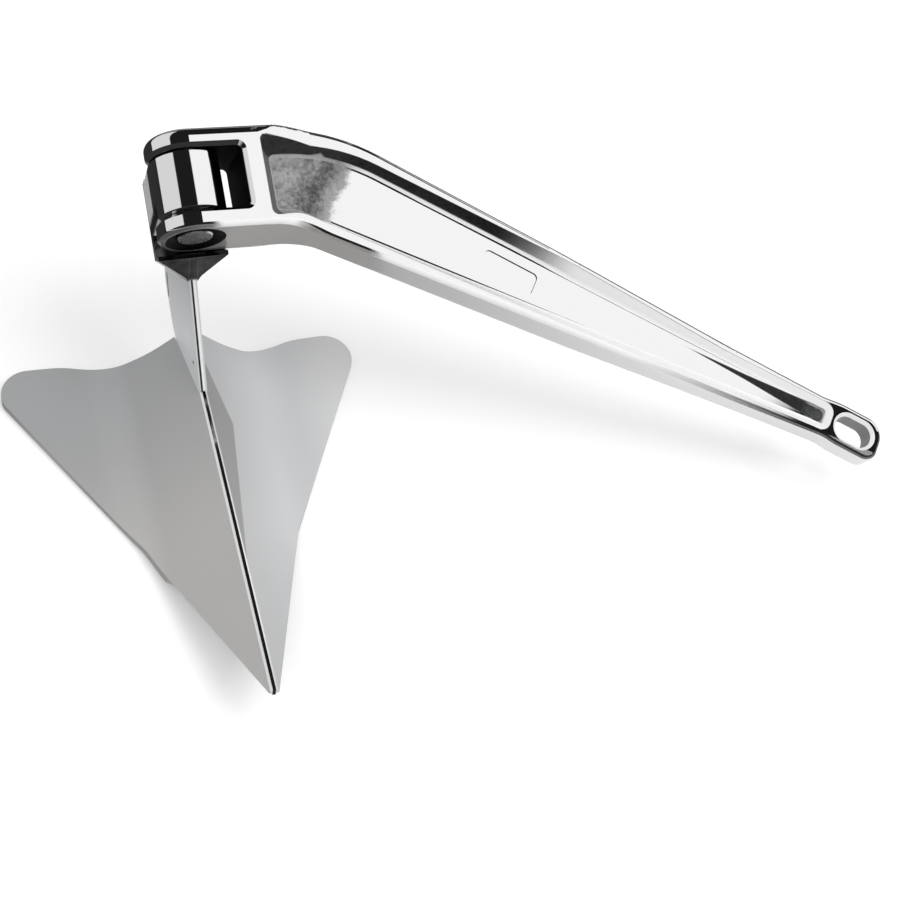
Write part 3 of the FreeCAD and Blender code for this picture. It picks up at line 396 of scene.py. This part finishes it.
def polished_casting():
    """Mirror-polished cast stainless steel, left rough where the buffing wheel could not reach."""
    tree = Metal("polished_casting")
    place, x, y, z = tree.in_frame(SHANK)
    _, along, _, above_bar = tree.in_frame(BAR)
    below = tree.times(above_bar, -1.0)
    side = tree.absolute(y)

    # Depth of a point inside the side view's outline
    below_top = tree.least(tree.minus(FORK_TOP, z), below)
    far_drop = tree.line(x, UNDERSIDE_BEND, UNDERSIDE_SLOPE)
    above_bottom = tree.plus(z, tree.most(far_drop, 0.0))
    depth = tree.least(below_top, above_bottom)

    # Inside the pockets: sunk behind the flange faces and well inside the outline
    behind_face = tree.minus(flange_half_width(tree, x), side)
    inside = tree.times(tree.step(depth, *POCKET_RIM), tree.between(x, *POCKET_ENDS))
    pocket = tree.times(tree.step(behind_face, *BEHIND_FACE), inside)
    web_half = tree.blend(tree.step(along, *WEB_THINS), *WEB_HALVES)
    foot = tree.times(pocket, tree.step(tree.minus(side, web_half), *WALL_FOOT))
    wall = tree.times(pocket, tree.step(side, *WALL_FACE))

    # The casting skin is left at the fork end of the pocket and fades out along the web
    lumps = tree.noise(place, *CAST_LUMPS)
    ragged = tree.plus(along, tree.line(lumps, 0.5, SKIN_RAGGEDNESS))
    near_skin = tree.times(pocket, tree.step(ragged, *SKIN_END))
    # Painted shade on the pocket wall by the fork and on the top wall
    fork_wall_shade = tree.times(foot, tree.step(x, *FORK_WALL_END))
    top_wall_shade = tree.times(wall, tree.step(below_top, *TOP_WALL_DEPTH), tree.step(along, *TOP_WALL_END))
    hand_ground = tree.times(foot, tree.minus(1.0, tree.most(near_skin, top_wall_shade)))

    # The long lower edge is broken by hand, except beside the bend and near the eye
    low_edge = tree.times(tree.step(above_bottom, *BROKEN_WIDTH), tree.step(behind_face, *BROKEN_WIDTH))
    crisp = tree.most(tree.between(along, *CRISP_AT_BEND), tree.step(along, *CRISP_AT_EYE))
    low_edge = tree.times(low_edge, tree.step(x, *BROKEN_START), tree.minus(1.0, crisp))

    # Undersides are only brushed, duller near the fork, with painted shade that darkens them towards the
    # fork and round the pin
    from_pin = tree.length(x, y)
    under = tree.times(tree.step(above_bottom, *UNDERSIDE_EDGE), tree.step(from_pin, *UNDERSIDE_FROM_PIN))
    # The countersink is painted black as shade
    countersink_shade = tree.times(tree.step(from_pin, *COUNTERSINK_RADIUS), tree.step(z, *COUNTERSINK_DEPTH))
    dull = tree.times(under, tree.step(tree.plus(along, tree.times(side, DULL_SLANT)), *DULL_END))

    slot_bevel, bore = shackle_slot(tree, along, below, side)
    slot_shade = fork_slot(tree, x, z, side)
    wedge, eye_skin = web_wedge(tree, along, below, side, pocket)
    ground = tree.most(hand_ground, low_edge, slot_bevel)
    skin = tree.most(near_skin, eye_skin)

    grain = tree.noise(place, *CAST_GRAIN)
    pits = tree.noise(place, *CAST_PITS)
    patches = tree.noise(place, *CAST_PATCHES)
    tone = tree.plus(tree.times(grain, 0.5), tree.times(pits, 0.2), tree.times(patches, 0.3))
    tone = tree.minus(tone, tree.times(tree.between(along, *SKIN_SHADE), SKIN_SHADE_DEPTH))
    colour = tree.coats(
        tree.tint, POLISHED_SHANK,
        (under, tree.tint(tree.step(along, *UNDERSIDE_TONES_ALONG), *UNDERSIDE_FINISH_AND_SHADE_TONES)),
        (dull, tree.tint(tree.step(x, *DULL_TONES_ALONG), *DULL_FINISH_AND_SHADE_TONES)),
        (ground, GROUND),
        (bore, BORE),
        (near_skin, tree.tint(tree.step(tone, *SKIN_TONE_RANGE), *CAST_TONES)),
        (tree.times(near_skin, foot, SKIN_ON_WALLS_SHARE), SKIN_ON_WALLS),
        (fork_wall_shade, tree.tint(grain, *FORK_WALL_SHADE_TONES)),
        (top_wall_shade, tree.tint(grain, *TOP_WALL_SHADE_TONES)),
        (slot_shade, PAINTED_DARK),
        (countersink_shade, PAINTED_DARK),
        (wedge, tree.tint(grain, *WEDGE_TONES)),
        (eye_skin, tree.tint(grain, *EYE_SKIN_TONES)),
    )
    roughness = tree.coats(
        tree.blend, tree.blend(tree.noise(place, *POLISH_WEAR), *MIRROR_ROUGHNESS),
        (tree.step(x, *EYE_POLISH), 0.008),
        (under, 0.24),
        (tree.most(ground, top_wall_shade, bore), 0.40),
        (wedge, 0.30),
        (skin, 0.62),
        (slot_shade, 0.75),
        (countersink_shade, 0.60),
    )
    dulled = tree.times(tree.most(near_skin, dull, bore), 0.60)
    frosted = tree.most(dulled, tree.times(ground, 0.85))

    calm = tree.times(tree.step(x, *WAVES_END), tree.noise(place, *POLISH_WAVES))
    waves = tree.bump(calm, distance=0.0009, strength=0.22)
    relief = tree.times(tree.plus(grain, tree.times(pits, 0.4)), skin)
    tree.surface(Base_Color=colour, Roughness=roughness, Metallic=tree.minus(1.0, frosted),
                 Normal=tree.bump(relief, distance=0.0009, strength=0.8, normal=waves))
    return tree.material


def turned_steel():
    """Hinge pin: turned, with faint rings on its end faces and a painted highlight on its rim."""
    tree = Metal("turned_steel")
    place, x, y, _ = tree.in_frame(SHANK)
    out = tree.length(x, y)
    rings = tree.math("SINE", tree.times(out, TURNING_MARKS))
    wear = tree.noise(place, *PIN_WEAR)
    rim_highlight = tree.between(out, *PIN_RIM)
    tree.surface(Base_Color=tree.tint(rim_highlight, tree.tint(wear, *PIN_TONES), PIN_RIM_HIGHLIGHT),
                 Roughness=tree.blend(wear, 0.20, 0.36),
                 Normal=tree.bump(rings, distance=0.00003, strength=0.5))
    return tree.material


def plate_ridge_shade(tree, plain, level, tone, x, y):
    """Painted shade towards the ridge, painted light on the wing, and a long narrow wedge of painted dark
    reflection.
    """
    from_ridge = tree.absolute(y)
    upper, lower = (tree.plus(height, tree.line(x, start, slope))
                    for height, start, slope in (DARK_REFLECTION_UPPER, DARK_REFLECTION_LOWER))
    # A long narrow wedge of painted dark reflection beside the ridge
    ground = tree.step(tree.minus(tree.least(upper, lower), y), *DARK_REFLECTION_EDGE)
    return tree.coats(
        tree.tint, plain,
        (tree.times(tree.step(from_ridge, *NEAR_RIDGE), NEAR_RIDGE_SHARE), grey(level * 0.58)),
        (tree.times(tree.step(from_ridge, *WING), WING_SHARE), grey(level * 1.40)),
        (ground, tree.tint(tone, grey(level * 0.48), grey(level * 0.58))),
    )


def plate_nose_light(tree, plain, level, x):
    """Painted light: lighter and warmer towards the nose."""
    warm = (level * 1.55, level * 1.50, level * 1.44, 1.0)
    return tree.tint(tree.times(tree.step(x, *WARM_END), WARM_SHARE), plain, warm)


def satin_plate(name, level, shade_at_ridge=False):
    """Blade plate with a fine brushed finish that runs along the ridge, and a painted highlight at the ridge
    itself.
    """
    tree = Metal(name)
    place, x, y, _ = tree.in_frame(PLOUGH)
    stretch = tree.add("ShaderNodeMapping", Vector=place, Scale=BRUSHING_STRETCH)
    brushing = tree.noise(stretch.outputs["Vector"], *PLATE_BRUSHING)
    clouds = tree.noise(place, *PLATE_CLOUDS)
    fine = tree.noise(place, *PLATE_GRAIN)
    # Painted highlight on the strip beside the ridge
    beside = tree.step(tree.absolute(y), *RIDGE_STRIP)
    tone = tree.plus(tree.times(clouds, 0.7), tree.times(brushing, 0.3))
    cool = (level * 0.99, level, level * 1.015)
    plain = tree.tint(tone, *((*(part * share for part in cool), 1.0) for share in (0.94, 1.06)))
    plain = plate_ridge_shade(tree, plain, level, tone, x, y) if shade_at_ridge else plate_nose_light(tree, plain, level, x)
    height = tree.plus(tree.times(brushing, 0.6), tree.times(fine, 0.4))
    tree.surface(Base_Color=tree.tint(beside, plain, PAINTED_LIGHT), Metallic=tree.blend(beside, 0.22, 0.3),
                 Roughness=tree.blend(beside, tree.blend(brushing, 0.44, 0.54), 0.20),
                 Normal=tree.bump(height, distance=0.00004, strength=0.5))
    return tree.material


def bright_strip():
    """Edge strip between the blades: mirror polished along its middle, frosted at its sides and painted
    there as a highlight.
    """
    tree = Metal("bright_strip")
    place, _, y, _ = tree.in_frame(PLOUGH)
    middle = tree.step(tree.absolute(y), *MIRROR_STRIP)
    tree.surface(Base_Color=tree.tint(middle, *STRIP_TONES), Metallic=tree.blend(middle, 0.3, 1.0),
                 Roughness=tree.blend(tree.noise(place, *STRIP_WEAR), 0.05, 0.10))
    return tree.material


def head_shade(tree, x, y, z, side, front):
    """Dark under the lip, at the foot of the wall and along the lip's front."""
    neck_half = tree.plus(NECK_HALF, tree.line(x, *NECK_TAPER))
    flare = tree.step(tree.minus(side, tree.most(neck_half, NECK_HALF)), *NECK_FLARE)
    beside_neck = tree.times(tree.step(z, *BELOW_LIP), tree.step(x, *SHADE_START), flare,
                             tree.step(z, *SHADE_FOOT))
    under_lip = tree.most(beside_neck, tree.times(front, tree.step(z, *FRONT_SHADE_FOOT)))
    wall_foot = tree.times(tree.step(x, *WALL_SHADE_FRONT), tree.step(x, *WALL_SHADE_BACK),
                           tree.step(z, *WALL_SHADE_TOP))
    wall_side = tree.times(tree.step(y, *WALL_SIDE), tree.step(z, *FLANK_FOOT[::-1]))
    on_wall = tree.times(tree.most(wall_foot, wall_side), tree.step(z, *BELOW_LIP[::-1]))
    lip = tree.times(tree.between(z, *LIP_HEIGHTS), tree.step(x, *LIP_FRONT))
    return tree.most(under_lip, on_wall, lip)


def neck_hole_shade(tree, place, x, y, z):
    """Painted shade: a black slit near the neck's back edge and a black weld pit at its foot."""
    off_slit = tree.minus(tree.plus(x, SLIT_PLACE), tree.times(z, SLIT_LEAN))
    slit = tree.times(tree.between(off_slit, *SLIT_WIDTH), tree.between(z, *SLIT_HEIGHTS),
                      tree.step(y, *SLIT_SIDE))
    off_pit = tree.add("ShaderNodeVectorMath", {"operation": "DISTANCE"}, {0: place, 1: PIT_PLACE})
    return tree.most(slit, tree.step(off_pit.outputs["Value"], *PIT_RADIUS))


def hinge_casting():
    """Head of the plough: polished barrel and wall, dark under the lip, satin neck with a painted highlight
    and painted dark reflection along its edge, painted light on the flank.
    """
    tree = Metal("hinge_casting")
    place, x, y, z = tree.in_frame(HEAD)
    side = tree.absolute(y)
    front = tree.times(tree.step(side, *FRONT_HALF), tree.step(z, *BELOW_LIP))
    shaded = head_shade(tree, x, y, z, side, front)
    # Painted light on the flank, which stands in shade
    lit_flank = tree.times(tree.step(side, *FLANK_SIDE), tree.between(x, *FLANK_ENDS), tree.step(z, *FLANK_FOOT))
    neck = tree.most(tree.step(z, *BELOW_LIP), tree.step(x, *BEHIND_LIP))
    neck = tree.times(neck, tree.minus(1.0, shaded))
    edge = tree.times(neck, front)
    # A painted highlight and a painted dark reflection along the neck's front edge
    edge_highlight = tree.times(edge, tree.between(y, *EDGE_HIGHLIGHT_BAND))
    edge_dark_reflection = tree.times(edge, tree.between(y, *EDGE_REFLECTION_BAND))
    hole_shade = neck_hole_shade(tree, place, x, y, z)

    colour = tree.coats(
        tree.tint, POLISHED_HEAD,
        (neck, tree.tint(tree.noise(place, *NECK_CLOUDS), *NECK_TONES)),
        (shaded, tree.tint(tree.noise(place, *SHADE_STREAKS), *SHADE_TONES)),
        (tree.most(edge_highlight, lit_flank), PAINTED_LIGHT),
        (tree.most(hole_shade, edge_dark_reflection), PAINTED_DARK),
    )
    roughness = tree.coats(
        tree.blend, tree.blend(tree.noise(place, *POLISH_WEAR), *MIRROR_ROUGHNESS),
        (neck, 0.34),
        (shaded, 0.18),
    )
    frosted = tree.most(tree.times(neck, tree.blend(edge_highlight, 0.65, 0.85)), tree.times(lit_flank, 0.95))
    tree.surface(Base_Color=colour, Roughness=roughness, Metallic=tree.minus(1.0, frosted),
                 Normal=tree.bump(tree.noise(place, *POLISH_WAVES), distance=0.0009, strength=0.15))
    return tree.material


def ballast_casting():
    """Rough cast iron inside the nose."""
    tree = Metal("ballast_casting")
    lumps = tree.noise(tree.in_frame(PLOUGH)[0], *BALLAST_LUMPS)
    tree.surface(Base_Color=tree.tint(lumps, *BALLAST_TONES), Roughness=tree.blend(lumps, 0.55, 0.8),
                 Metallic=0.6, Normal=tree.bump(lumps, distance=0.0015, strength=0.7))
    return tree.material


finishes = {
    "shank": polished_casting(),
    "hinge_pin": turned_steel(),
    "plough_head": hinge_casting(),
    "ridge_bar": bright_strip(),
    # One satin finish at two levels: painted light on the port blade, painted shade on the starboard blade
    "port_blade": satin_plate("satin_plate", 0.67, shade_at_ridge=True),
    "starboard_blade": satin_plate("satin_plate_in_shade", 0.42),
    "nose_ballast": ballast_casting(),
}
for name, material in finishes.items():
    node = nodes[name]
    if not node.material_slots:
        node.data.materials.append(material)
    for slot in node.material_slots:
        slot.material = material


def add_camera():
    camera = bpy.data.objects.new("camera", bpy.data.cameras.new("camera"))
    bpy.context.scene.collection.objects.link(camera)
    right = CAMERA_RIGHT.normalized()
    ahead = (CAMERA_AHEAD - right * CAMERA_AHEAD.dot(right)).normalized()
    up = right.cross(ahead)
    turn = Matrix((right, up, -ahead)).transposed().to_4x4()
    camera.matrix_world = SHANK @ Matrix.Translation(CAMERA_PLACE) @ turn
    camera.data.sensor_width = SENSOR_MM
    camera.data.lens = FOCAL_PIXELS / IMAGE_PIXELS * SENSOR_MM
    camera.data.clip_start = 0.05
    camera.data.clip_end = 50.0
    bpy.context.scene.camera = camera


# The floor lies just under the part. Polished metal sees a light table top in it and a dark floor round it
FLOOR_REACH = 12.0
FLOOR_HEIGHT = -0.0004
TABLE_X = (-0.24, 0.34, 0.03)
TABLE_Y = (0.01, 0.19, 0.03)
FLOOR_GLOW = 0.26
FLOOR_TONE = grey(0.80)
MIRRORED_TONES = (grey(0.03), grey(0.85))


def add_floor():
    """White floor. To the camera it is lit up to white and keeps a light shadow."""
    corners = [(x * FLOOR_REACH, y * FLOOR_REACH, 0) for x, y in ((-1, -1), (1, -1), (1, 1), (-1, 1))]
    mesh = bpy.data.meshes.new("floor")
    mesh.from_pydata(corners, [], [(0, 1, 2, 3)])
    floor = bpy.data.objects.new("floor", mesh)
    bpy.context.scene.collection.objects.link(floor)
    floor.location.z = FLOOR_HEIGHT
    material = bpy.data.materials.new("white_floor")
    material.use_nodes = True
    tree = Tree(material.node_tree)
    tree.nodes.remove(tree.nodes["Principled BSDF"])
    rays = tree.add("ShaderNodeLightPath")
    _, x, y, _ = tree.in_frame(Matrix.Identity(4))
    table = tree.times(tree.between(x, *TABLE_X), tree.between(y, *TABLE_Y))
    mirrored = tree.tint(table, *MIRRORED_TONES)
    colour = tree.tint(rays.outputs["Is Glossy Ray"], FLOOR_TONE, mirrored)
    pale = tree.add("ShaderNodeBsdfDiffuse", Color=colour).outputs[0]
    seen = tree.blend(rays.outputs["Is Camera Ray"], 0.0, FLOOR_GLOW)
    glow = tree.add("ShaderNodeEmission", Color=WHITE, Strength=seen).outputs[0]
    both = tree.add("ShaderNodeAddShader", None, {0: pale, 1: glow})
    tree.fill(tree.nodes["Material Output"], Surface=both.outputs[0])
    mesh.materials.append(material)


def degrees(*angles):
    return [math.radians(angle) for angle in angles]


# The studio round the hinge pin. Turns are 0 out of the shank's near side and positive towards the eye;
# lift, height and endways are the part of a direction along the pin, upright and along the shank
WORLD_LIGHT = 0.75
DARK_ROOM = 0.012
RIGHT_BOX_TURNS = degrees(11, 120, 1.5)
RIGHT_BOX_TOP = 0.42
RIGHT_BOX_TOP_RISE = 0.55
RIGHT_BOX_TOP_ENDWAYS = (0.52, 0.64)
RIGHT_BOX_TOP_EDGE = (0.006, -0.006)
DARK_CORNER_TURN = degrees(66, 70)
DARK_CORNER_LIFT = (0.49, 0.52)
LEFT_BOX_TURNS = degrees(-138, -43, 1.5)
LEFT_BOX_LIGHT = 0.74
BOX_FOOT = (0.1875, 0.1905)
SKIRTING_HEIGHT = (0.30, 0.05)
SKIRTING_LIGHT = 0.45


def add_studio():
    """Plain pale surroundings. Polished metal sees two soft boxes in them, with a dark room between."""
    world = bpy.data.worlds.new("studio")
    bpy.context.scene.world = world
    world.use_nodes = True
    tree = Tree(world.node_tree)
    rays = tree.add("ShaderNodeLightPath")
    way = tree.add("ShaderNodeTexCoord").outputs["Generated"]

    def share_of(direction):
        node = tree.add("ShaderNodeVectorMath", {"operation": "DOT_PRODUCT"}, {0: way, 1: direction})
        return node.outputs["Value"]

    endways = share_of(SHANK_TURN @ Vector((1, 0, 0)))
    turn = tree.math("ARCTAN2", endways, share_of(SHANK_TURN @ Vector((0, -1, 0))))
    lift = share_of(SHANK_TURN @ Vector((0, 0, 1)))
    height = share_of(Vector((0, 0, 1)))
    top_rise = tree.times(tree.step(endways, *RIGHT_BOX_TOP_ENDWAYS), RIGHT_BOX_TOP_RISE)
    past_top = tree.minus(lift, tree.plus(RIGHT_BOX_TOP, top_rise))
    dark_corner = tree.times(tree.step(turn, *DARK_CORNER_TURN), tree.step(lift, *DARK_CORNER_LIFT))
    right_box = tree.times(tree.between(turn, *RIGHT_BOX_TURNS), tree.step(past_top, *RIGHT_BOX_TOP_EDGE),
                           tree.minus(1.0, dark_corner))
    left_box = tree.times(tree.between(turn, *LEFT_BOX_TURNS), LEFT_BOX_LIGHT)
    boxes = tree.times(tree.most(right_box, left_box), tree.step(lift, *BOX_FOOT))
    skirting = tree.times(tree.step(height, *SKIRTING_HEIGHT), SKIRTING_LIGHT)
    mirrored = tree.most(boxes, skirting, DARK_ROOM)
    level = tree.blend(rays.outputs["Is Glossy Ray"], WORLD_LIGHT, mirrored)
    level = tree.blend(rays.outputs["Is Camera Ray"], level, 1.0)
    tree.fill(tree.nodes["Background"], Strength=level, Color=WHITE)


# Each lamp's place, edge length and power in watts
LAMPS = {
    "key_lamp": ((1.1, -0.5, 1.9), 1.1, 22.0),
    "fill_lamp": ((-1.6, -0.9, 1.5), 1.2, 2.0),
}
LAMP_TARGET = Vector((0.0, 0.0, 0.1))


def add_lamp(name, place, size, power):
    lamp = bpy.data.lights.new(name, "AREA")
    lamp.shape = "SQUARE"
    lamp.size = size
    lamp.energy = power
    holder = bpy.data.objects.new(name, lamp)
    bpy.context.scene.collection.objects.link(holder)
    holder.location = place
    holder.rotation_euler = (LAMP_TARGET - Vector(place)).to_track_quat("-Z", "Y").to_euler()
    holder.visible_glossy = False


add_camera()
add_floor()
add_studio()
for name, (place, size, power) in LAMPS.items():
    add_lamp(name, place, size, power)

scene = bpy.context.scene
scene.view_settings.view_transform = "Standard"
